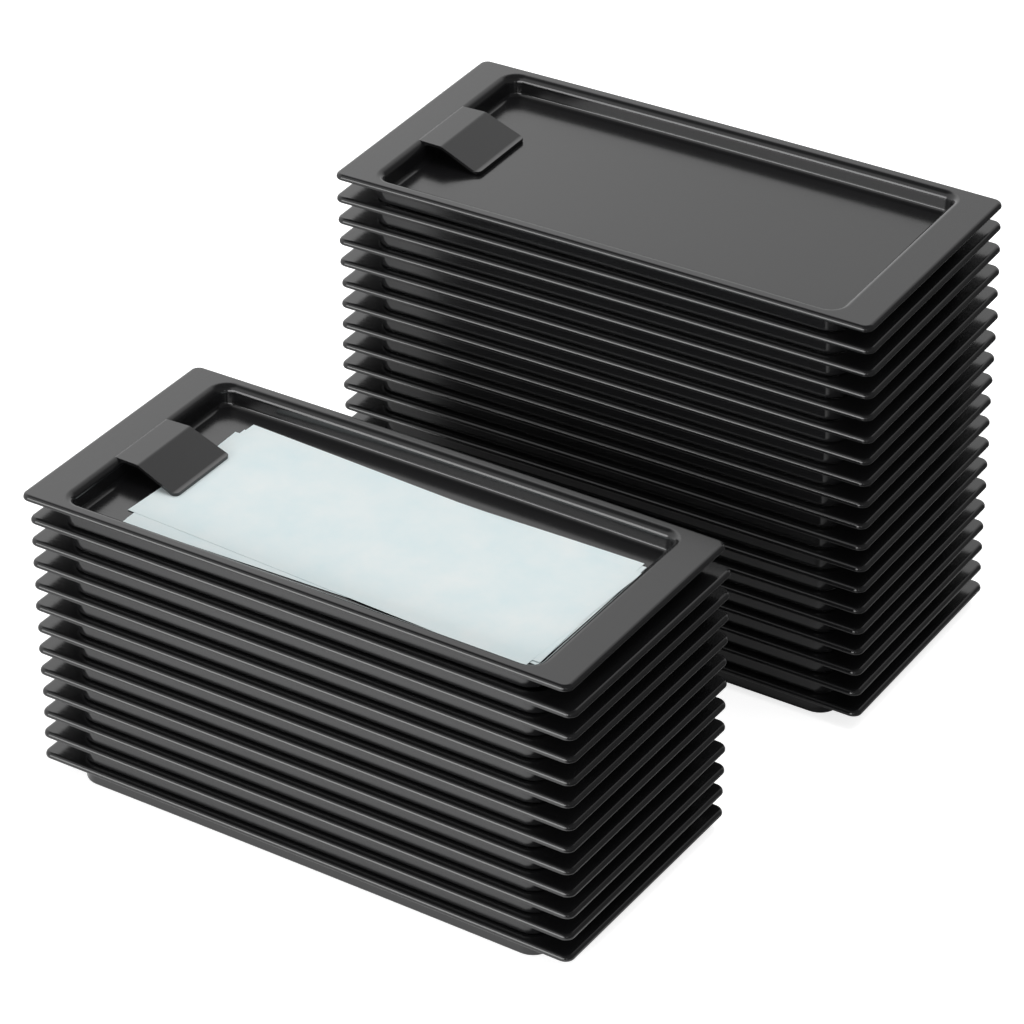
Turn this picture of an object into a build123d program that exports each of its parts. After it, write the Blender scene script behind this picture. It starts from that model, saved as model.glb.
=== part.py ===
"""Two stacks of clip trays for presenting a guest's check, with three slips under one clip.

Millimetres. +X runs along the trays, away from the clips. +Y runs from the front stack to
the rear one, and +Z is up. The origin is the centre of the underside of the front stack's
lowest tray.
"""

import os
from math import atan2, tan

from build123d import *

# ---- one tray ---------------------------------------------------------------------
TRAY_LENGTH = 207.3
TRAY_WIDTH = 99.1
RIM_CORNER = 3.4  # plan radius of the rim's corners
RIM_THICKNESS = 2.1
RIM_TOP_ROUND = 1.5
RIM_UNDER_ROUND = 0.5
END_RIM = 15.2  # tray edge to pocket wall, at the two ends
SIDE_RIM = 5.8  # tray edge to pocket wall, along the two sides
POCKET_DEPTH = 7.4
POCKET_CORNER = 4.7
MOUTH_ROUND = 3.0  # round where the rim turns down into the pocket
FLOOR_FILLET = 1.8
WALL_THICKNESS = 3.0  # at the rim
FLOOR_THICKNESS = 0.85
POCKET_DRAFT = 6.0  # degrees that the pocket's walls lean from upright
OUTER_DRAFT = 2.0  # degrees that the outer walls lean from upright
BASE_ROUND = 1.0  # round between the outer wall and the underside

# ---- its clip -----------------------------------------------------------------------
CLIP_ROOT_WIDTH = 29.0
CLIP_TIP_WIDTH = 30.6
CLIP_THICKNESS = 1.1
CLIP_FLAT = 7.0  # level part that carries on from the rim
CLIP_RUN = 14.0  # length of the sloping part along the tray
CLIP_LIP = 1.7  # level lip at the tip
CLIP_BEND = 1.6  # inside radius of the two bends
CLIP_CORNER = 2.0  # plan radius of the tip's corners
CLIP_GAP = 0.4  # under the tip, for the slips

# ---- the slips ------------------------------------------------------------------------
SLIP_LENGTH = 156.0
SLIP_WIDTH = 66.3
SLIP_THICKNESS = 0.11
# How far it reaches in under the clip, its place across the tray, and degrees turned,
# from the lowest slip up.
SLIP_PLACES = [(6.5, -1.1, -0.3), (7.2, -1.9, 1.3), (7.4, -1.1, -3.3)]

# ---- the two stacks ---------------------------------------------------------------------
SEAT_CLEARANCE = 0.2  # each tray's underside above the rim and clip that it rests on
REAR_PLACE = (9.2, 168.7)  # centre of the rear stack's lowest tray
FRONT_TURN = -0.1  # degrees
REAR_TURN = 1.16
FRONT_TOP_TURN = 0.31  # degrees that the top tray alone is turned further
REAR_TOP_TURN = -0.4
# What each tray adds to the one below it.
FRONT_LEAN = (-0.13, -0.06)
REAR_LEAN = (-0.11, -0.19)
FRONT_TWIST = 0.015  # degrees
REAR_TWIST = 0.0
FRONT_TILT = 0.043  # degrees, which raise the long side at the back
REAR_TILT = 0.116
FRONT_END_TILT = 0.008  # degrees, which raise the end away from the clips
REAR_END_TILT = 0.034
# How far each tray sits off its stack's line, along X, from the lowest up: 13 trays in the
# front stack and 19 in the rear one.
FRONT_STRAY = [-0.1, -0.1, 0.2, 0.3, 0.0, -0.1, 0.1, -0.2, 0.1, 0.0, 0.1, 0.3, -2.1]
REAR_STRAY = [0.2, -0.1, -0.1, -0.1, 0.0, 0.1, 0.0, 0.2, -0.1, -0.1,
              0.0, 0.2, 0.3, 0.6, 0.1, 0.1, -0.1, -0.4, -0.5]

TRAY_HEIGHT = POCKET_DEPTH + FLOOR_THICKNESS
STACK_STEP = TRAY_HEIGHT + SEAT_CLEARANCE
POCKET_END = TRAY_LENGTH / 2 - END_RIM  # from the tray's centre, at the mouth
CLIP_DROP = POCKET_DEPTH - CLIP_GAP - CLIP_THICKNESS
CLIP_LENGTH = CLIP_FLAT + CLIP_RUN + CLIP_LIP


def rounded_plan(length, width, corner):
    """A rectangle with round corners, centred on the tray, as a flat face."""
    return RectangleRounded(length, width, corner)


def tray_shell():
    """The tray without its clip. Its underside is centred on the origin."""
    rim = extrude(rounded_plan(TRAY_LENGTH, TRAY_WIDTH, RIM_CORNER), RIM_THICKNESS)
    rim = Pos(0, 0, TRAY_HEIGHT - RIM_THICKNESS) * rim
    rim = fillet(rim.edges().group_by(Axis.Z)[-1], RIM_TOP_ROUND)
    rim = fillet(rim.edges().group_by(Axis.Z)[0], RIM_UNDER_ROUND)

    mouth_length = 2 * POCKET_END
    mouth_width = TRAY_WIDTH - 2 * SIDE_RIM
    outer_plan = rounded_plan(
        mouth_length + 2 * WALL_THICKNESS,
        mouth_width + 2 * WALL_THICKNESS,
        POCKET_CORNER + WALL_THICKNESS,
    )
    bowl = Pos(0, 0, TRAY_HEIGHT) * extrude(outer_plan, -TRAY_HEIGHT, taper=OUTER_DRAFT)
    bowl = fillet(bowl.edges().group_by(Axis.Z)[0], BASE_ROUND)
    bowl = split(bowl, Plane.XY.offset(TRAY_HEIGHT - RIM_THICKNESS / 2), keep=Keep.BOTTOM)

    pocket_plan = rounded_plan(mouth_length, mouth_width, POCKET_CORNER)
    pocket = Pos(0, 0, TRAY_HEIGHT) * extrude(pocket_plan, -POCKET_DEPTH, taper=POCKET_DRAFT)
    pocket = fillet(pocket.edges().group_by(Axis.Z)[0], FLOOR_FILLET)

    shell = rim + bowl - pocket
    top_edges = shell.edges().group_by(Axis.Z)[-1]
    mid_end = TRAY_LENGTH / 2 - END_RIM / 2
    mid_side = TRAY_WIDTH / 2 - SIDE_RIM / 2
    mouth = top_edges.filter_by(lambda edge: abs(edge.center().X) < mid_end
                                and abs(edge.center().Y) < mid_side)
    return fillet(mouth, MOUTH_ROUND) + (shell & clip_root())


def clip_root():
    """Where the mouth's round is left off, so that the clip springs squarely from the rim."""
    root = Box(2 * MOUTH_ROUND, CLIP_ROOT_WIDTH, MOUTH_ROUND,
               align=(Align.MAX, Align.CENTER, Align.MAX))
    return Pos(-POCKET_END, 0, TRAY_HEIGHT) * root


def clip_plate():
    """The clip: level, then sloping down to a level lip just over the pocket's floor."""
    mitre = CLIP_THICKNESS * tan(atan2(CLIP_DROP, CLIP_RUN) / 2)
    first_bend = -POCKET_END + CLIP_FLAT
    second_bend = first_bend + CLIP_RUN
    tip = -POCKET_END + CLIP_LENGTH
    top = TRAY_HEIGHT
    outline = Polyline(
        (-POCKET_END, top),
        (first_bend, top),
        (second_bend, top - CLIP_DROP),
        (tip, top - CLIP_DROP),
        (tip, top - CLIP_DROP - CLIP_THICKNESS),
        (second_bend - mitre, top - CLIP_DROP - CLIP_THICKNESS),
        (first_bend - mitre, top - CLIP_THICKNESS),
        (-POCKET_END, top - CLIP_THICKNESS),
        close=True,
    )
    side = Plane.XZ * make_face(outline)
    plate = extrude(side, CLIP_TIP_WIDTH, both=True)
    outside = CLIP_BEND + CLIP_THICKNESS
    for x, z, radius in (
        (first_bend, top, outside),
        (first_bend - mitre, top - CLIP_THICKNESS, CLIP_BEND),
        (second_bend, top - CLIP_DROP, CLIP_BEND),
        (second_bend - mitre, top - CLIP_DROP - CLIP_THICKNESS, outside),
    ):
        bend = plate.edges().filter_by(Axis.Y).sort_by_distance((x, 0, z))[0]
        plate = fillet(bend, radius)
    plan = make_face(Polyline(
        (-POCKET_END, -CLIP_ROOT_WIDTH / 2),
        (tip, -CLIP_TIP_WIDTH / 2),
        (tip, CLIP_TIP_WIDTH / 2),
        (-POCKET_END, CLIP_ROOT_WIDTH / 2),
        close=True,
    ))
    plan = fillet(plan.vertices().sort_by(Axis.X)[-2:], CLIP_CORNER)
    return plate & extrude(plan, TRAY_HEIGHT)


def tray_place(stack_place, turns, lean, tilts, stray, number):
    """Where the stack's tray of that number goes, counted up from nought at the bottom."""
    first_turn, twist, top_turn = turns
    tilt, end_tilt = tilts
    across = stack_place[0] + number * lean[0] + stray[number]
    back = stack_place[1] + number * lean[1]
    turn = first_turn + number * twist
    if number == len(stray) - 1:
        turn += top_turn
    spot = (across, back, number * STACK_STEP)
    return Location(spot, (number * tilt, -number * end_tilt, turn))


def slip(number):
    """One slip of paper, where it lies on the pocket's floor of a tray at the origin."""
    under_clip, across, turned = SLIP_PLACES[number]
    along = -POCKET_END + CLIP_LENGTH - under_clip + SLIP_LENGTH / 2
    sheet = Box(SLIP_LENGTH, SLIP_WIDTH, SLIP_THICKNESS,
                align=(Align.CENTER, Align.CENTER, Align.MIN))
    floor = FLOOR_THICKNESS + number * SLIP_THICKNESS
    return Location((along, across, floor), (0, 0, turned)) * sheet


def save(name, shape):
    export_step(shape, os.path.join("parts", name + ".step"))


def build():
    os.makedirs("parts", exist_ok=True)
    shell = tray_shell()
    clip = clip_plate()
    tray = shell + clip
    stacks = (
        ("front", (0, 0), (FRONT_TURN, FRONT_TWIST, FRONT_TOP_TURN), FRONT_LEAN,
         (FRONT_TILT, FRONT_END_TILT), FRONT_STRAY),
        ("rear", REAR_PLACE, (REAR_TURN, REAR_TWIST, REAR_TOP_TURN), REAR_LEAN,
         (REAR_TILT, REAR_END_TILT), REAR_STRAY),
    )
    for stack, place, turns, lean, tilts, stray in stacks:
        for number in range(len(stray)):
            spot = tray_place(place, turns, lean, tilts, stray, number)
            on_top = number == len(stray) - 1
            save(f"{stack}_tray_{number + 1:02d}", spot * (shell if on_top else tray))
        save(f"{stack}_clip", spot * clip)
        if stack == "front":
            for sheet in range(len(SLIP_PLACES)):
                save(f"slip_{sheet + 1}", spot * slip(sheet))


build()
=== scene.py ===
"""Two stacks of glossy black clip trays on a white floor, with three blank slips under one clip.

Metres, in the frame of the CAD model: +X along the trays, +Y from the front stack to the
rear one, +Z up, and the origin under the middle of the front stack's lowest tray.
"""

from math import atan2, cos, pi, radians, sin, tan

import bmesh
import bpy
from mathutils import Matrix, Vector

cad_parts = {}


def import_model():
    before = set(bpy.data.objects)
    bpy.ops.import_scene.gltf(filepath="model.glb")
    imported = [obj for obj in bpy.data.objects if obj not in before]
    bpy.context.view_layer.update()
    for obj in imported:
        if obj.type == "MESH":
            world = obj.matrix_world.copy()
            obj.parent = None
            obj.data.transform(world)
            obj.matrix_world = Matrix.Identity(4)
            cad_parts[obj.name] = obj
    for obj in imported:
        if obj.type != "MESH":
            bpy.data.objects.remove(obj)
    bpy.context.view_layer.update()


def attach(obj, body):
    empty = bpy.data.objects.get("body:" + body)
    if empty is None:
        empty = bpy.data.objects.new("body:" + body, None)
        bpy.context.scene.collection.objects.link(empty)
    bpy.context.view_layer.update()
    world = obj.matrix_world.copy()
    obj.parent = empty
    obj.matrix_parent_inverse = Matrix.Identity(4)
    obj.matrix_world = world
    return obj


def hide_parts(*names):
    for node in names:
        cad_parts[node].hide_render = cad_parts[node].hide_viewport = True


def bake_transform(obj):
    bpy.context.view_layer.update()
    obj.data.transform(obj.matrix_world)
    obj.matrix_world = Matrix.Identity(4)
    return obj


MM = 0.001

# ---- one tray, as in the CAD model ------------------------------------------------------
TRAY_LENGTH = 207.3 * MM
TRAY_WIDTH = 99.1 * MM
RIM_CORNER = 3.4 * MM
RIM_THICKNESS = 2.1 * MM
RIM_TOP_ROUND = 1.5 * MM
RIM_UNDER_ROUND = 0.5 * MM
END_RIM = 15.2 * MM
SIDE_RIM = 5.8 * MM
POCKET_DEPTH = 7.4 * MM
POCKET_CORNER = 4.7 * MM
MOUTH_ROUND = 3.0 * MM
FLOOR_FILLET = 1.8 * MM
WALL_THICKNESS = 3.0 * MM
FLOOR_THICKNESS = 0.85 * MM
POCKET_DRAFT = radians(6.0)
OUTER_DRAFT = radians(2.0)
BASE_ROUND = 1.0 * MM
TRAY_HEIGHT = POCKET_DEPTH + FLOOR_THICKNESS
POCKET_END = TRAY_LENGTH / 2 - END_RIM
POCKET_SIDE = TRAY_WIDTH / 2 - SIDE_RIM
ARCH = 0.46 * MM  # how far a tray's middle stands above its two ends, as moulded

# ---- its clip ---------------------------------------------------------------------------
CLIP_ROOT_WIDTH = 29.0 * MM
CLIP_TIP_WIDTH = 30.6 * MM
CLIP_THICKNESS = 1.1 * MM
CLIP_FLAT = 7.0 * MM
CLIP_RUN = 14.0 * MM
CLIP_LIP = 1.7 * MM
CLIP_BEND = 1.6 * MM
CLIP_CORNER = 2.0 * MM
CLIP_GAP = 0.4 * MM
CLIP_EDGE = 0.28 * MM  # round on its edges
CLIP_DIP = 0.015 * MM  # its root starts this far under the rim's face
CLIP_DIP_RUN = 1.0 * MM  # and comes level over this length
CLIP_DROP = POCKET_DEPTH - CLIP_GAP - CLIP_THICKNESS
CLIP_LENGTH = CLIP_FLAT + CLIP_RUN + CLIP_LIP

# ---- the slips --------------------------------------------------------------------------
SLIP_LENGTH = 156.0 * MM
SLIP_WIDTH = 66.3 * MM
SLIP_THICKNESS = 0.11 * MM
SLIP_PLAY = 0.1 * SLIP_THICKNESS  # between it and the one that lies on it
SLIP_HELD = 0.25  # share of its length that lies flat, from the clip on
SLIP_LIFT = 0.05 * MM  # at the far end of the lowest slip, and as much again for each above
SLIP_WAVE = 0.13 * MM  # added to that along a soft wave
# How far that wave turns along a slip, from one slip to the next, and across a slip.
WAVE_ALONG, WAVE_NEXT, WAVE_ACROSS = 2.3 * pi, 1.1, 1.7
# How far it reaches in under the clip, its place across the tray, and degrees turned.
SLIP_PLACES = [(6.5, -1.1, -0.3), (7.2, -1.9, 1.3), (7.4, -1.1, -3.3)]

# ---- the two stacks ---------------------------------------------------------------------
SEAT_CLEARANCE = 0.2 * MM
STACK_STEP = TRAY_HEIGHT + SEAT_CLEARANCE
FRONT_STRAY = [-0.1, -0.1, 0.2, 0.3, 0.0, -0.1, 0.1, -0.2, 0.1, 0.0, 0.1, 0.3, -2.1]
REAR_STRAY = [0.2, -0.1, -0.1, -0.1, 0.0, 0.1, 0.0, 0.2, -0.1, -0.1,
              0.0, 0.2, 0.3, 0.6, 0.1, 0.1, -0.1, -0.4, -0.5]
# Millimetres and degrees. Turns: the first tray's, what each adds, the top tray's own.
# Tilts: what each adds, raising the long side at the back and the end away from the clips.
STACKS = [
    {"name": "front", "first": (0.0, 0.0), "turns": (-0.1, 0.015, 0.31),
     "lean": (-0.13, -0.06), "tilts": (0.043, 0.008), "stray": FRONT_STRAY},
    {"name": "rear", "first": (9.2, 168.7), "turns": (1.16, 0.0, -0.4),
     "lean": (-0.11, -0.19), "tilts": (0.116, 0.034), "stray": REAR_STRAY},
]

# ---- mesh fineness ----------------------------------------------------------------------
CORNER_STEPS = 8
ROUND_STEPS = 7
SIDE_STEPS = 16  # pieces along each long side, to follow the arch
CLIP_TIP_STEPS = 6  # pieces round each corner of the clip's tip
CLIP_ROW = 0.7 * MM  # between rows of the clip's mesh
SLIP_COLUMNS = 52
SLIP_ROWS = 22
SAME_PLACE = 0.01 * MM  # nearer than this counts as one place
TIP_JOIN = 0.05 * MM  # rows reach this far past the start of the tip's round corners
CLIP_CREASE = radians(50)  # an edge of the clip that turns more than this is rounded
SLIP_CREASE = radians(40)  # an edge of a slip that turns more than this shows as an edge
WALL_START = 0.02 * MM  # the outer wall's own shading starts this far under the rim
FLAT_WEIGHT = 80  # how strongly the clip's large faces stay flat in shading
CLIP_HIDDEN = 2.0 * MM  # further than this past the pocket's end, the clip is in the rim

# ---- finishes ---------------------------------------------------------------------------
PLASTIC_COLOURS = ((0.0075, 0.0075, 0.008), (0.010, 0.010, 0.0105))
PLASTIC_ROUGHNESS = (0.17, 0.25)  # clean, and where it is scuffed
PLASTIC_IOR = 1.59
PAPER_COLOURS = ((0.74, 0.86, 0.88), (0.84, 0.90, 0.90))
PAPER_ROUGHNESS = (0.55, 0.7)
FLOOR_COLOUR = (0.8, 0.8, 0.8, 1.0)
# Grains to a metre, in the noise that makes each kind of unevenness.
HAZE_GRAINS, SCUFF_GRAINS, SKIN_GRAINS, SAG_GRAINS = 38.0, 900.0, 1500.0, 26.0
CLOUD_GRAINS, FIBRE_GRAINS = 45.0, 2600.0
SCUFF_STRETCH = (0.12, 1.0, 1.0)  # scuffs run along X
SCUFFS_SHOW = (0.52, 0.75)  # a scuff starts to show, and shows fully, at these noise values
HAZE_SHOWS = (0.35, 0.7)
# Strength of a bump, and its height.
SKIN_BUMP = (0.05, 0.05 * MM)
SAG_BUMP = (0.25, 0.1 * MM)
FIBRE_BUMP = (0.2, 0.03 * MM)

# ---- camera -----------------------------------------------------------------------------
CAMERA_TARGET = Vector((-0.011788, 0.100244, 0.054114))
CAMERA_AZIMUTH = radians(-31.471)
CAMERA_ELEVATION = radians(31.77)
CAMERA_ROLL = radians(1.186)
CAMERA_DISTANCE = 1.52246
CAMERA_LENS = 155.31
CAMERA_SHIFT = (-0.00237, 0.00628)

# ---- light, as brightness against white ---------------------------------------------------
FLOOR_GLOW = 0.75  # added to the lit floor where the camera sees it
FLOOR_SHINE = 0.8  # painted glow, added to the lit floor only in the plastic's reflections
FLOOR_EDGE = (0.10, 0.17)  # the floor's reflection fades out between these places along X
FLOOR_LIT = (-0.05, 0.03)  # the painted glow fades out between these places along Y, leaving painted shade on the floor between the stacks
FLOOR_DIM = (-0.10, -0.22)  # and the painted glow falls to FLOOR_LEAST of itself between these along X
FLOOR_LEAST = 0.2
FLOOR_HALF = 6.0  # half the floor's side
WORLD_LIGHT = 0.5
# The backdrop's glow in reflections, by degrees round from +Y towards +X.
BACKDROP_GLOWS = [(-180, 1.0), (-80, 1.2), (-50, 2.0), (-38, 1.85), (-30, 1.38), (-20, 1.18),
                  (5, 1.0), (30, 0.1), (180, 0.1)]
BACKDROP_RISE = (sin(radians(46)), sin(radians(60)))  # it fades out upwards between these
ROOM_GLOW = 0.1
# Name, direction from the set, distance, width, height, glow, and whether reflections show it.
LAMPS = [
    ("fill", (-0.12, -1.0, 0.22), 1.6, 1.7, 0.7, 4.6, True),
    ("side", (0.7, -0.7, 0.25), 1.8, 0.12, 0.5, 3.0, True),
    ("top", (0.1, 0.2, 1.0), 1.6, 1.4, 1.4, 2.2, False),
]

# ---- nodes ------------------------------------------------------------------------------
def new_material(name):
    """An empty material with its nodes, its links and a shader joined to its output."""
    material = bpy.data.materials.new(name)
    material.use_nodes = True
    nodes = material.node_tree.nodes
    nodes.clear()
    output = nodes.new("ShaderNodeOutputMaterial")
    shader = nodes.new("ShaderNodeBsdfPrincipled")
    material.node_tree.links.new(shader.outputs[0], output.inputs["Surface"])
    return material, nodes, material.node_tree.links, shader


def maths(nodes, links, operation, *values):
    """One step of arithmetic on sockets and plain numbers."""
    node = nodes.new("ShaderNodeMath")
    node.operation = operation
    for socket, value in zip(node.inputs, values):
        if isinstance(value, (int, float)):
            socket.default_value = value
        else:
            links.new(value, socket)
    return node.outputs[0]


def mixed(nodes, links, part, first, second):
    """The second shader in the given part, and the first in the rest."""
    node = nodes.new("ShaderNodeMixShader")
    for socket, value in zip(node.inputs, (part, first, second)):
        links.new(value, socket)
    return node.outputs[0]


def tinted(nodes, links, part, first, second):
    """A colour between two, for a shader's base colour."""
    node = nodes.new("ShaderNodeMix")
    node.data_type = "RGBA"
    node.inputs["A"].default_value = (*first, 1.0)
    node.inputs["B"].default_value = (*second, 1.0)
    links.new(part, node.inputs["Factor"])
    return node.outputs["Result"]


def bumped(nodes, links, height, strength, distance, under=None):
    """A bump of that height, over another bump if one is given."""
    node = nodes.new("ShaderNodeBump")
    node.inputs["Strength"].default_value = strength
    node.inputs["Distance"].default_value = distance
    links.new(height, node.inputs["Height"])
    if under is not None:
        links.new(under, node.inputs["Normal"])
    return node.outputs[0]


def noise(nodes, links, vector, scale, detail=3.0, roughness=0.55):
    """Noise at that place, most of it between 0.3 and 0.7."""
    node = nodes.new("ShaderNodeTexNoise")
    node.inputs["Scale"].default_value = scale
    node.inputs["Detail"].default_value = detail
    node.inputs["Roughness"].default_value = roughness
    links.new(vector, node.inputs["Vector"])
    return node.outputs[0]


def spread(nodes, links, value, low, high, start=0.3, end=0.7):
    """The value stretched from between start and end to between low and high, and kept there."""
    node = nodes.new("ShaderNodeMapRange")
    node.inputs["From Min"].default_value = start
    node.inputs["From Max"].default_value = end
    node.inputs["To Min"].default_value = low
    node.inputs["To Max"].default_value = high
    links.new(value, node.inputs["Value"])
    return node.outputs[0]


def plastic_material():
    """Glossy black moulded plastic, with a faint moulded waviness and light handling marks."""
    material, nodes, links, shader = new_material("black_plastic")
    place = nodes.new("ShaderNodeTexCoord").outputs["Object"]
    stretched = nodes.new("ShaderNodeMapping")
    stretched.inputs["Scale"].default_value = SCUFF_STRETCH
    links.new(place, stretched.inputs["Vector"])

    haze = noise(nodes, links, place, HAZE_GRAINS, 4.0)
    scuffs = noise(nodes, links, stretched.outputs[0], SCUFF_GRAINS, 2.0)
    marks = maths(nodes, links, "MULTIPLY",
                  spread(nodes, links, scuffs, 0.0, 1.0, *SCUFFS_SHOW),
                  spread(nodes, links, haze, 0.0, 1.0, *HAZE_SHOWS))
    links.new(spread(nodes, links, marks, *PLASTIC_ROUGHNESS, 0.0, 1.0),
              shader.inputs["Roughness"])
    links.new(tinted(nodes, links, haze, *PLASTIC_COLOURS), shader.inputs["Base Color"])
    skin = noise(nodes, links, place, SKIN_GRAINS, 2.0)
    sag = noise(nodes, links, place, SAG_GRAINS, 1.0)
    fine = bumped(nodes, links, skin, *SKIN_BUMP)
    links.new(bumped(nodes, links, sag, *SAG_BUMP, fine), shader.inputs["Normal"])
    shader.inputs["IOR"].default_value = PLASTIC_IOR
    return material


def paper_material():
    """Smooth pale-blue paper with soft fibre clouds."""
    material, nodes, links, shader = new_material("slip_paper")
    place = nodes.new("ShaderNodeTexCoord").outputs["Object"]
    clouds = noise(nodes, links, place, CLOUD_GRAINS, 5.0, 0.6)
    links.new(tinted(nodes, links, spread(nodes, links, clouds, 0.0, 1.0), *PAPER_COLOURS),
              shader.inputs["Base Color"])
    fibres = noise(nodes, links, place, FIBRE_GRAINS, 3.0, 0.7)
    links.new(spread(nodes, links, fibres, *PAPER_ROUGHNESS), shader.inputs["Roughness"])
    links.new(bumped(nodes, links, fibres, *FIBRE_BUMP), shader.inputs["Normal"])
    return material


# ---- the tray's mesh ----------------------------------------------------------------------
def rounded(before, corner, after, radius, steps):
    """Points and outward normals along a round of that radius, in a profile of (out, up)."""
    to_before = (Vector(before) - Vector(corner)).normalized()
    to_after = (Vector(after) - Vector(corner)).normalized()
    half = to_before.angle(to_after) / 2
    middle = Vector(corner) + (to_before + to_after).normalized() * radius / sin(half)
    first = Vector(corner) + to_before * radius / tan(half) - middle
    last = Vector(corner) + to_after * radius / tan(half) - middle
    turn = first.angle_signed(last)
    points = []
    for step in range(steps + 1):
        angle = -turn * step / steps
        spoke = Matrix.Rotation(angle, 2) @ first
        points.append((middle + spoke, spoke.normalized()))
    return points


def arch(x):
    """How far the moulded arch lifts the tray at that place along it, and its slope there."""
    part = x / (TRAY_LENGTH / 2)
    return ARCH * (0.5 - part ** 2), -2 * ARCH * part / (TRAY_LENGTH / 2)


def arched(point, normal):
    """A point of the tray and its normal, once the tray is arched."""
    lift, slope = arch(point[0])
    turned = Vector((normal[0] - slope * normal[2], normal[1], normal[2]))
    return (point[0], point[1], point[2] + lift), turned.normalized()


def plan_ring(half_length, half_width, corner, height, normal):
    """One ring of points round a rectangle with round corners, with their normals.

    It starts at the +Y end of the straight part of the +X side and goes round
    counterclockwise, so its first and last points face each other across the tray.
    """
    straight = half_length - corner
    quarter = []
    for step in range(CORNER_STEPS + 1):
        angle = step * pi / 2 / CORNER_STEPS
        out = (cos(angle), sin(angle))
        quarter.append((straight + corner * out[0], half_width - corner + corner * out[1], out))
    for step in range(1, SIDE_STEPS // 2 + 1):
        quarter.append((straight * (1 - 2 * step / SIDE_STEPS), half_width, (0.0, 1.0)))
    half = quarter + [(-x, y, (-out[0], out[1])) for x, y, out in reversed(quarter[:-1])]
    whole = half + [(-x, -y, (-out[0], -out[1])) for x, y, out in half]
    ring = []
    for x, y, out in whole:
        ring.append(arched((x, y, height), (normal[0] * out[0], normal[0] * out[1], normal[1])))
    return ring


def tray_rings():
    """The tray's surface as rings, from the pocket's floor over the rim to the underside."""
    lean = tan(POCKET_DRAFT)
    outer_lean = tan(OUTER_DRAFT)
    under_rim = TRAY_HEIGHT - RIM_THICKNESS
    far = 10 * MM  # any length does, since only the direction counts

    def by_mouth(point, normal):
        """A ring that far outside the pocket's mouth, at that height."""
        out, up = point
        return plan_ring(POCKET_END + out, POCKET_SIDE + out, POCKET_CORNER + out, up, normal)

    def by_rim(point, normal):
        """A ring that far outside the rim's edge, at that height."""
        out, up = point
        return plan_ring(TRAY_LENGTH / 2 + out, TRAY_WIDTH / 2 + out, RIM_CORNER + out, up,
                         normal)

    wall_foot = (-POCKET_DEPTH * lean, FLOOR_THICKNESS)
    mouth = (0.0, TRAY_HEIGHT)
    rings = []
    for point, normal in rounded((-far, FLOOR_THICKNESS), wall_foot, mouth, FLOOR_FILLET,
                                 ROUND_STEPS):
        rings.append(by_mouth(point, -normal))
    for point, normal in rounded(wall_foot, mouth, (far, TRAY_HEIGHT), MOUTH_ROUND,
                                 ROUND_STEPS):
        rings.append(by_mouth(point, normal))
    for point, normal in rounded((-far, TRAY_HEIGHT), (0.0, TRAY_HEIGHT), (0.0, under_rim),
                                 RIM_TOP_ROUND, ROUND_STEPS):
        rings.append(by_rim(point, normal))
    for point, normal in rounded((0.0, TRAY_HEIGHT), (0.0, under_rim), (-far, under_rim),
                                 RIM_UNDER_ROUND, ROUND_STEPS):
        rings.append(by_rim(point, normal))
    wall_top = (WALL_THICKNESS - RIM_THICKNESS * outer_lean, under_rim)
    wall_base = (WALL_THICKNESS - TRAY_HEIGHT * outer_lean, 0.0)
    rings.append(by_mouth(wall_top, (0.0, -1.0)))
    rings.append(by_mouth((wall_top[0], wall_top[1] - WALL_START),
                          (cos(OUTER_DRAFT), -sin(OUTER_DRAFT))))
    for point, normal in rounded(wall_top, wall_base, (-far, 0.0), BASE_ROUND, ROUND_STEPS):
        rings.append(by_mouth(point, normal))
    return rings


def strips(first, count):
    """Faces that close a ring of points, from its one long side straight over to the other."""
    half = count // 2
    faces = []
    for column in range(half - 1):
        one, two = first + column, first + column + 1
        three, four = first + count - 2 - column, first + count - 1 - column
        faces.append([one, two, three, four])
    return faces


def tray_mesh(name):
    """One tray without its clip, as a closed surface lofted through its rings."""
    rings = tray_rings()
    mesh = bpy.data.meshes.new(name)
    points = [point for ring in rings for point, _ in ring]
    normals = [normal for ring in rings for _, normal in ring]
    count = len(rings[0])
    faces = strips(0, count)
    for row in range(len(rings) - 1):
        low = row * count
        high = low + count
        for column in range(count):
            beside = (column + 1) % count
            faces.append([low + beside, low + column, high + column, high + beside])
    last = (len(rings) - 1) * count
    faces += [face[::-1] for face in strips(last, count)]
    mesh.from_pydata(points, [], faces)
    mesh.polygons.foreach_set("use_smooth", [True] * len(mesh.polygons))
    mesh.normals_split_custom_set_from_vertices(normals)
    return mesh


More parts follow.
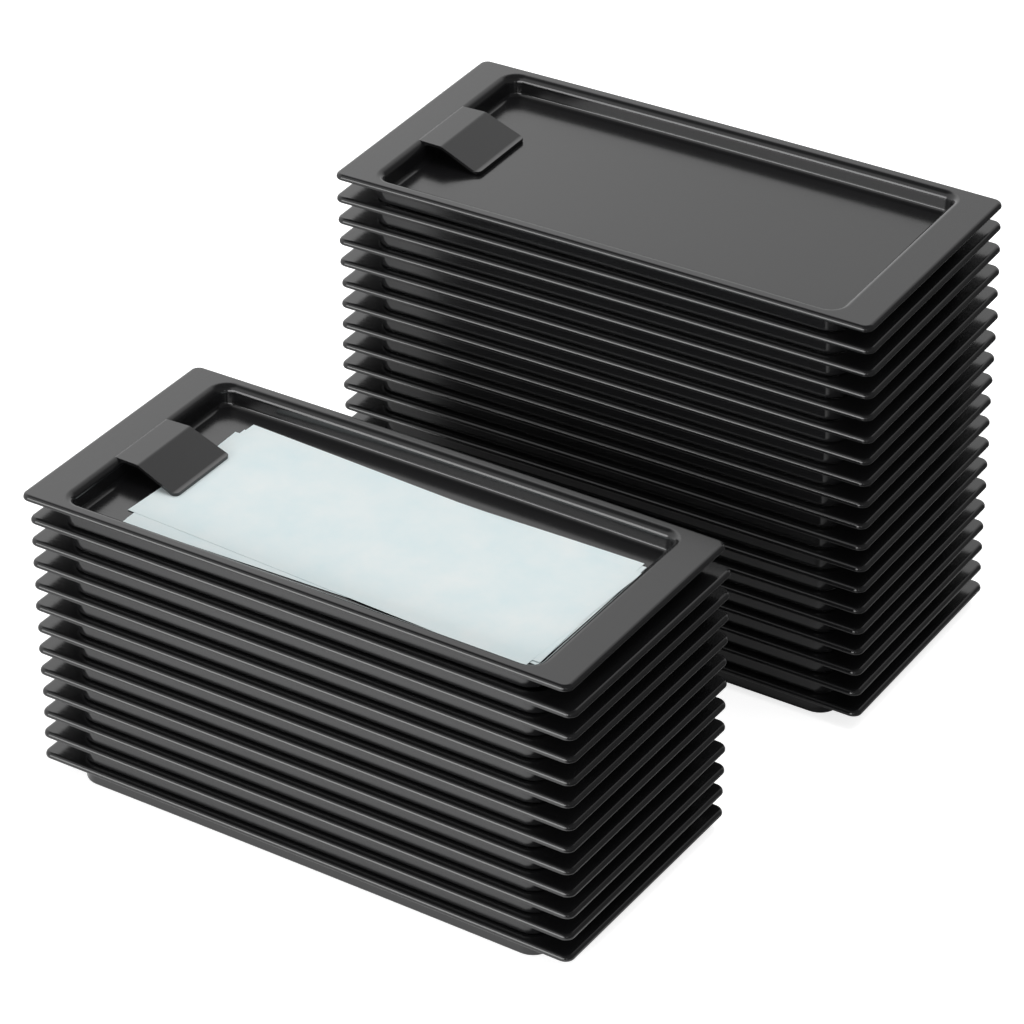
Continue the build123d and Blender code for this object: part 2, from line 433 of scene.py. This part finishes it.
# ---- the clip's mesh ------------------------------------------------------------------------
def clip_path():
    """The clip's middle line from its root to its tip, as (x, z, direction) in the tray."""
    middle = TRAY_HEIGHT - CLIP_THICKNESS / 2
    start = -POCKET_END - MOUTH_ROUND * tan((pi / 2 - POCKET_DRAFT) / 2)
    slope = atan2(CLIP_DROP, CLIP_RUN)
    shift = tan(slope / 2) * CLIP_THICKNESS / 2
    corners = [
        (start, middle),
        (-POCKET_END + CLIP_FLAT - shift, middle),
        (-POCKET_END + CLIP_FLAT + CLIP_RUN - shift, middle - CLIP_DROP),
        (-POCKET_END + CLIP_LENGTH, middle - CLIP_DROP),
    ]
    path = [Vector(corners[0])]
    for index in (1, 2):
        before, corner, after = corners[index - 1:index + 2]
        radius = CLIP_BEND + CLIP_THICKNESS / 2
        path += [point for point, _ in rounded(before, corner, after, radius, 2 * ROUND_STEPS)]
    path.append(Vector(corners[3]))
    # More rows along the straight stretches, so that the flat part can bend.
    fine = []
    for one, two in zip(path, path[1:]):
        pieces = max(1, round((two - one).length / CLIP_ROW))
        fine += [one.lerp(two, step / pieces) for step in range(pieces)]
    fine.append(path[-1])
    rows = []
    for index, point in enumerate(fine):
        ahead = fine[min(index + 1, len(fine) - 1)] - fine[max(index - 1, 0)]
        rows.append((point, ahead.normalized()))
    return rows


def clip_half_width(x):
    """Half the clip's width at that x: it widens to the tip, which has round corners."""
    along = (x + POCKET_END) / CLIP_LENGTH
    half = (CLIP_ROOT_WIDTH + along * (CLIP_TIP_WIDTH - CLIP_ROOT_WIDTH)) / 2
    past = x - (-POCKET_END + CLIP_LENGTH - CLIP_CORNER)
    if past > 0:
        half -= CLIP_CORNER - (max(CLIP_CORNER ** 2 - past ** 2, 0.0)) ** 0.5
    return half


def clip_mesh(name):
    """The clip as one closed plate, with small rounds on its edges and a gusset at its root."""
    shape = bmesh.new()
    rows = clip_path()
    tip = -POCKET_END + CLIP_LENGTH
    extra = []
    for step in range(1, CLIP_TIP_STEPS):
        turn = step * pi / 2 / CLIP_TIP_STEPS
        extra.append(tip - CLIP_CORNER * (1 - sin(turn)))
    last_point, last_way = rows[-1]
    kept = [row for row in rows if row[0][0] < tip - CLIP_CORNER + TIP_JOIN]
    level = last_point[1]
    kept += [(Vector((x, level)), last_way) for x in extra + [tip]]
    loops = []
    start = kept[0][0][0]
    for point, way in kept:
        up = Vector((-way[1], way[0]))
        half = clip_half_width(point[0])
        dip = CLIP_DIP * max(0.0, 1 - (point[0] - start) / CLIP_DIP_RUN)
        point = point - Vector((0, dip))
        top = point + up * CLIP_THICKNESS / 2
        bottom = point - up * CLIP_THICKNESS / 2
        root = max(0.0, -POCKET_END + CLIP_THICKNESS - point[0])
        if root > 0:
            into = min(1.0, root / CLIP_THICKNESS)
            gusset = MOUTH_ROUND - CLIP_THICKNESS
            bottom = bottom - Vector((0, gusset * (1 - (1 - into ** 2) ** 0.5)))
        loop = [
            shape.verts.new((top[0], -half, top[1])),
            shape.verts.new((top[0], half, top[1])),
            shape.verts.new((bottom[0], half, bottom[1])),
            shape.verts.new((bottom[0], -half, bottom[1])),
        ]
        loops.append(loop)
    for one, two in zip(loops, loops[1:]):
        for side in range(4):
            beside = (side + 1) % 4
            shape.faces.new((one[side], one[beside], two[beside], two[side]))
    shape.faces.new(loops[0][::-1])
    shape.faces.new(loops[-1])
    bmesh.ops.recalc_face_normals(shape, faces=shape.faces)
    # The edges that show are rounded: all but the lengthwise ones inside the rim and the
    # root's own end.
    root_x = loops[0][0].co.x
    long_edges = []
    for edge in shape.edges:
        one, two = (vert.co.x for vert in edge.verts)
        at_end = min(one, two) <= root_x + SAME_PLACE and abs(one - two) <= SAME_PLACE
        inside = max(one, two) <= -POCKET_END - CLIP_HIDDEN
        if edge.calc_face_angle(0.0) > CLIP_CREASE and not at_end and not inside:
            long_edges.append(edge)
    bmesh.ops.bevel(shape, geom=long_edges, offset=CLIP_EDGE, segments=3, profile=0.5,
                    affect="EDGES", clamp_overlap=True)
    for vert in shape.verts:
        vert.co.z += arch(vert.co.x)[0]
    mesh = bpy.data.meshes.new(name)
    shape.to_mesh(mesh)
    shape.free()
    mesh.polygons.foreach_set("use_smooth", [True] * len(mesh.polygons))
    return mesh


def weigh_normals(piece):
    """Flat faces stay flat in shading, and only the small rounds beside them turn."""
    modifier = piece.modifiers.new("flat_faces", "WEIGHTED_NORMAL")
    modifier.weight = FLAT_WEIGHT
    with bpy.context.temp_override(object=piece, active_object=piece):
        bpy.ops.object.modifier_apply(modifier=modifier.name)


# ---- a slip's mesh ------------------------------------------------------------------------
def slip_mesh(name, number, spot):
    """A thin sheet that lies flat under the clip and lifts a little towards its far end.

    spot is its place in the tray, whose arch it follows.
    """
    shape = bmesh.new()
    layers = []
    for height in (0.0, SLIP_THICKNESS - SLIP_PLAY):
        grid = []
        for column in range(SLIP_COLUMNS + 1):
            along = column / SLIP_COLUMNS
            free = max(0.0, along - SLIP_HELD) / (1 - SLIP_HELD)
            line = []
            for row in range(SLIP_ROWS + 1):
                across = row / SLIP_ROWS
                turned = WAVE_ALONG * along + WAVE_NEXT * number + WAVE_ACROSS * across
                wave = 0.5 + 0.5 * sin(turned)
                lift = free * free * (SLIP_LIFT + SLIP_WAVE * wave) * (number + 1)
                x = (along - 0.5) * SLIP_LENGTH
                y = (across - 0.5) * SLIP_WIDTH
                arched_by = arch((spot @ Vector((x, y, 0))).x)[0]
                line.append(shape.verts.new((x, y, height + lift + arched_by)))
            grid.append(line)
        layers.append(grid)
    under, over = layers
    for column in range(SLIP_COLUMNS):
        for row in range(SLIP_ROWS):
            shape.faces.new((over[column][row], over[column + 1][row],
                             over[column + 1][row + 1], over[column][row + 1]))
            shape.faces.new((under[column][row + 1], under[column + 1][row + 1],
                             under[column + 1][row], under[column][row]))
    edge = [(column, 0) for column in range(SLIP_COLUMNS)]
    edge += [(SLIP_COLUMNS, row) for row in range(SLIP_ROWS)]
    edge += [(column, SLIP_ROWS) for column in range(SLIP_COLUMNS, 0, -1)]
    edge += [(0, row) for row in range(SLIP_ROWS, 0, -1)]
    for (a, b), (c, d) in zip(edge, edge[1:] + edge[:1]):
        shape.faces.new((under[a][b], under[c][d], over[c][d], over[a][b]))
    shape.normal_update()
    for line in shape.edges:
        line.smooth = line.calc_face_angle(0.0) < SLIP_CREASE
    for face in shape.faces:
        face.smooth = True
    mesh = bpy.data.meshes.new(name)
    shape.to_mesh(mesh)
    shape.free()
    return mesh


# ---- placing the pieces ---------------------------------------------------------------------
def tray_place(stack, number):
    """Where the stack's tray of that number goes, counted up from nought at the bottom."""
    turn, twist, top_turn = stack["turns"]
    tilt, end_tilt = stack["tilts"]
    turn += number * twist
    if number == len(stack["stray"]) - 1:
        turn += top_turn
    spot = Vector((
        (stack["first"][0] + number * stack["lean"][0] + stack["stray"][number]) * MM,
        (stack["first"][1] + number * stack["lean"][1]) * MM,
        number * STACK_STEP,
    ))
    return (Matrix.Translation(spot) @ Matrix.Rotation(radians(number * tilt), 4, "X")
            @ Matrix.Rotation(radians(-number * end_tilt), 4, "Y")
            @ Matrix.Rotation(radians(turn), 4, "Z"))


def add_object(name, mesh, place):
    """A piece of the model at its place."""
    piece = bpy.data.objects.new(name, mesh)
    bpy.context.scene.collection.objects.link(piece)
    piece.matrix_world = place
    return piece


def build_stack(stack, plastic):
    """All the trays of a stack, each a shell with its clip. Gives the top tray's place."""
    name = stack["name"]
    top = len(stack["stray"]) - 1
    plain = tray_mesh(name + "_tray_shape")
    plain.materials.append(plastic)
    for number in range(top + 1):
        place = tray_place(stack, number)
        node = f"{name}_tray_{number + 1:02d}"
        shell = add_object(f"{name}_shell_{number + 1:02d}", plain, place)
        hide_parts(node)
        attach(shell, node)
        if number < top:
            clip = add_object(f"{name}_low_clip_{number + 1:02d}", low_clip(plastic), place)
            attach(clip, node)
    mesh = clip_mesh(name + "_clip_shape")
    mesh.materials.append(plastic)
    mesh.transform(place)
    clip = add_object(f"{name}_spring_clip", mesh, Matrix.Identity(4))
    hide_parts(f"{name}_clip")
    weigh_normals(clip)
    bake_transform(clip)
    return place


def low_clip(plastic):
    """The mesh that the clips of all the lower trays share."""
    mesh = bpy.data.meshes.get("low_clip_shape")
    if mesh is None:
        mesh = clip_mesh("low_clip_shape")
        mesh.materials.append(plastic)
        probe = bpy.data.objects.new("low_clip_probe", mesh)
        bpy.context.scene.collection.objects.link(probe)
        weigh_normals(probe)
        bpy.data.objects.remove(probe)
    return mesh


def build_slips(place, paper):
    """The slips in the tray at that place, from the lowest up."""
    for number, (under_clip, across, turned) in enumerate(SLIP_PLACES):
        along = -POCKET_END + CLIP_LENGTH - under_clip * MM + SLIP_LENGTH / 2
        height = FLOOR_THICKNESS + number * SLIP_THICKNESS
        spot = (Matrix.Translation((along, across * MM, height))
                @ Matrix.Rotation(radians(turned), 4, "Z"))
        mesh = slip_mesh(f"slip_shape_{number + 1}", number, spot)
        mesh.materials.append(paper)
        node = f"slip_{number + 1}"
        sheet = add_object(f"paper_slip_{number + 1}", mesh, place @ spot)
        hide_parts(node)
        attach(sheet, node)


# ---- stage ------------------------------------------------------------------------------------
def build_floor():
    """A white floor with a painted glow that only the plastic's reflections see, brightest in
    front of the stacks.
    """
    shape = bmesh.new()
    bmesh.ops.create_grid(shape, x_segments=1, y_segments=1, size=FLOOR_HALF)
    mesh = bpy.data.meshes.new("floor")
    shape.to_mesh(mesh)
    shape.free()
    floor = bpy.data.objects.new("floor", mesh)
    bpy.context.scene.collection.objects.link(floor)
    material = bpy.data.materials.new("floor")
    material.use_nodes = True
    nodes, links = material.node_tree.nodes, material.node_tree.links
    nodes.clear()
    output = nodes.new("ShaderNodeOutputMaterial")
    paint = nodes.new("ShaderNodeBsdfDiffuse")
    paint.inputs["Color"].default_value = FLOOR_COLOUR
    rays = nodes.new("ShaderNodeLightPath").outputs
    place = nodes.new("ShaderNodeSeparateXYZ")
    links.new(nodes.new("ShaderNodeNewGeometry").outputs["Position"], place.inputs[0])
    across, back = place.outputs["X"], place.outputs["Y"]

    to_camera = maths(nodes, links, "MULTIPLY", rays["Is Camera Ray"], FLOOR_GLOW)
    # Painted glow for reflections, with painted shade between the stacks where it fades out.
    shine = maths(nodes, links, "MULTIPLY",
                  spread(nodes, links, back, FLOOR_SHINE, 0.0, *FLOOR_LIT),
                  spread(nodes, links, across, 1.0, FLOOR_LEAST, *FLOOR_DIM))
    glow = nodes.new("ShaderNodeEmission")
    links.new(maths(nodes, links, "MULTIPLY_ADD", rays["Is Glossy Ray"], shine, to_camera),
              glow.inputs["Strength"])
    both = nodes.new("ShaderNodeAddShader")
    links.new(paint.outputs[0], both.inputs[0])
    links.new(glow.outputs[0], both.inputs[1])

    past_edge = maths(nodes, links, "MULTIPLY",
                      spread(nodes, links, across, 0.0, 1.0, *FLOOR_EDGE),
                      rays["Is Glossy Ray"])
    dark = nodes.new("ShaderNodeEmission")
    dark.inputs["Strength"].default_value = ROOM_GLOW
    links.new(mixed(nodes, links, past_edge, both.outputs[0], dark.outputs[0]),
              output.inputs["Surface"])
    mesh.materials.append(material)


def build_world():
    """White to the camera. In reflections, a bright backdrop behind and to the left."""
    world = bpy.data.worlds.new("studio")
    bpy.context.scene.world = world
    world.use_nodes = True
    nodes, links = world.node_tree.nodes, world.node_tree.links
    nodes.clear()
    output = nodes.new("ShaderNodeOutputWorld")
    light = nodes.new("ShaderNodeBackground")
    light.inputs["Strength"].default_value = WORLD_LIGHT
    white = nodes.new("ShaderNodeBackground")
    white.inputs["Color"].default_value = (1, 1, 1, 1)
    seen = nodes.new("ShaderNodeBackground")
    rays = nodes.new("ShaderNodeLightPath").outputs
    split = nodes.new("ShaderNodeSeparateXYZ")
    links.new(nodes.new("ShaderNodeTexCoord").outputs["Generated"], split.inputs[0])

    azimuth = maths(nodes, links, "ARCTAN2", split.outputs["X"], split.outputs["Y"])
    brightest = max(glow for _, glow in BACKDROP_GLOWS)
    aside = nodes.new("ShaderNodeValToRGB")
    stops = aside.color_ramp.elements
    while len(stops) < len(BACKDROP_GLOWS):
        stops.new(0.5)
    for stop, (degrees_round, glow) in zip(stops, BACKDROP_GLOWS):
        stop.position = (degrees_round + 180) / 360
        stop.color = (glow / brightest, glow / brightest, glow / brightest, 1.0)
    links.new(spread(nodes, links, azimuth, 0.0, 1.0, -pi, pi), aside.inputs["Fac"])
    low = spread(nodes, links, split.outputs["Z"], 1.0, 0.0, *BACKDROP_RISE)
    part = maths(nodes, links, "MULTIPLY", aside.outputs["Color"], low)
    links.new(spread(nodes, links, part, ROOM_GLOW, brightest, 0.0, 1.0),
              seen.inputs["Strength"])

    unseen = mixed(nodes, links, rays["Is Glossy Ray"], light.outputs[0], seen.outputs[0])
    straight = maths(nodes, links, "MAXIMUM", rays["Is Camera Ray"],
                     rays["Is Transmission Ray"])
    links.new(mixed(nodes, links, straight, unseen, white.outputs[0]),
              output.inputs["Surface"])


def softbox(name, direction, distance, width, height, glow, in_gloss):
    """An area lamp that faces the middle of the set. glow is its brightness against white."""
    data = bpy.data.lights.new(name, "AREA")
    data.shape = "RECTANGLE"
    data.size = width
    data.size_y = height
    data.energy = glow * pi * width * height
    lamp = bpy.data.objects.new(name, data)
    bpy.context.scene.collection.objects.link(lamp)
    way = Vector(direction).normalized()
    lamp.location = CAMERA_TARGET + way * distance
    lamp.rotation_euler = way.to_track_quat("Z", "Y").to_euler()
    lamp.visible_camera = False
    lamp.visible_glossy = in_gloss


def build_camera():
    """The camera, which looks at its target from the front right."""
    data = bpy.data.cameras.new("camera")
    data.sensor_width = 36
    data.lens = CAMERA_LENS
    data.shift_x, data.shift_y = CAMERA_SHIFT
    data.clip_end = 20
    camera = bpy.data.objects.new("camera", data)
    bpy.context.scene.collection.objects.link(camera)
    flat = cos(CAMERA_ELEVATION)
    ahead = Vector((sin(CAMERA_AZIMUTH) * flat, cos(CAMERA_AZIMUTH) * flat,
                    -sin(CAMERA_ELEVATION)))
    right = Vector((cos(CAMERA_AZIMUTH), -sin(CAMERA_AZIMUTH), 0))
    up = right.cross(ahead)
    rolled_right = cos(CAMERA_ROLL) * right + sin(CAMERA_ROLL) * up
    rolled_up = cos(CAMERA_ROLL) * up - sin(CAMERA_ROLL) * right
    turn = Matrix((rolled_right, rolled_up, -ahead)).transposed().to_4x4()
    camera.matrix_world = Matrix.Translation(CAMERA_TARGET - ahead * CAMERA_DISTANCE) @ turn
    bpy.context.scene.camera = camera


def main():
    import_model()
    bpy.context.scene.view_settings.view_transform = "Standard"
    plastic = plastic_material()
    paper = paper_material()
    tops = [build_stack(stack, plastic) for stack in STACKS]
    build_slips(tops[0], paper)
    build_floor()
    build_world()
    for lamp in LAMPS:
        softbox(*lamp)
    build_camera()


main()
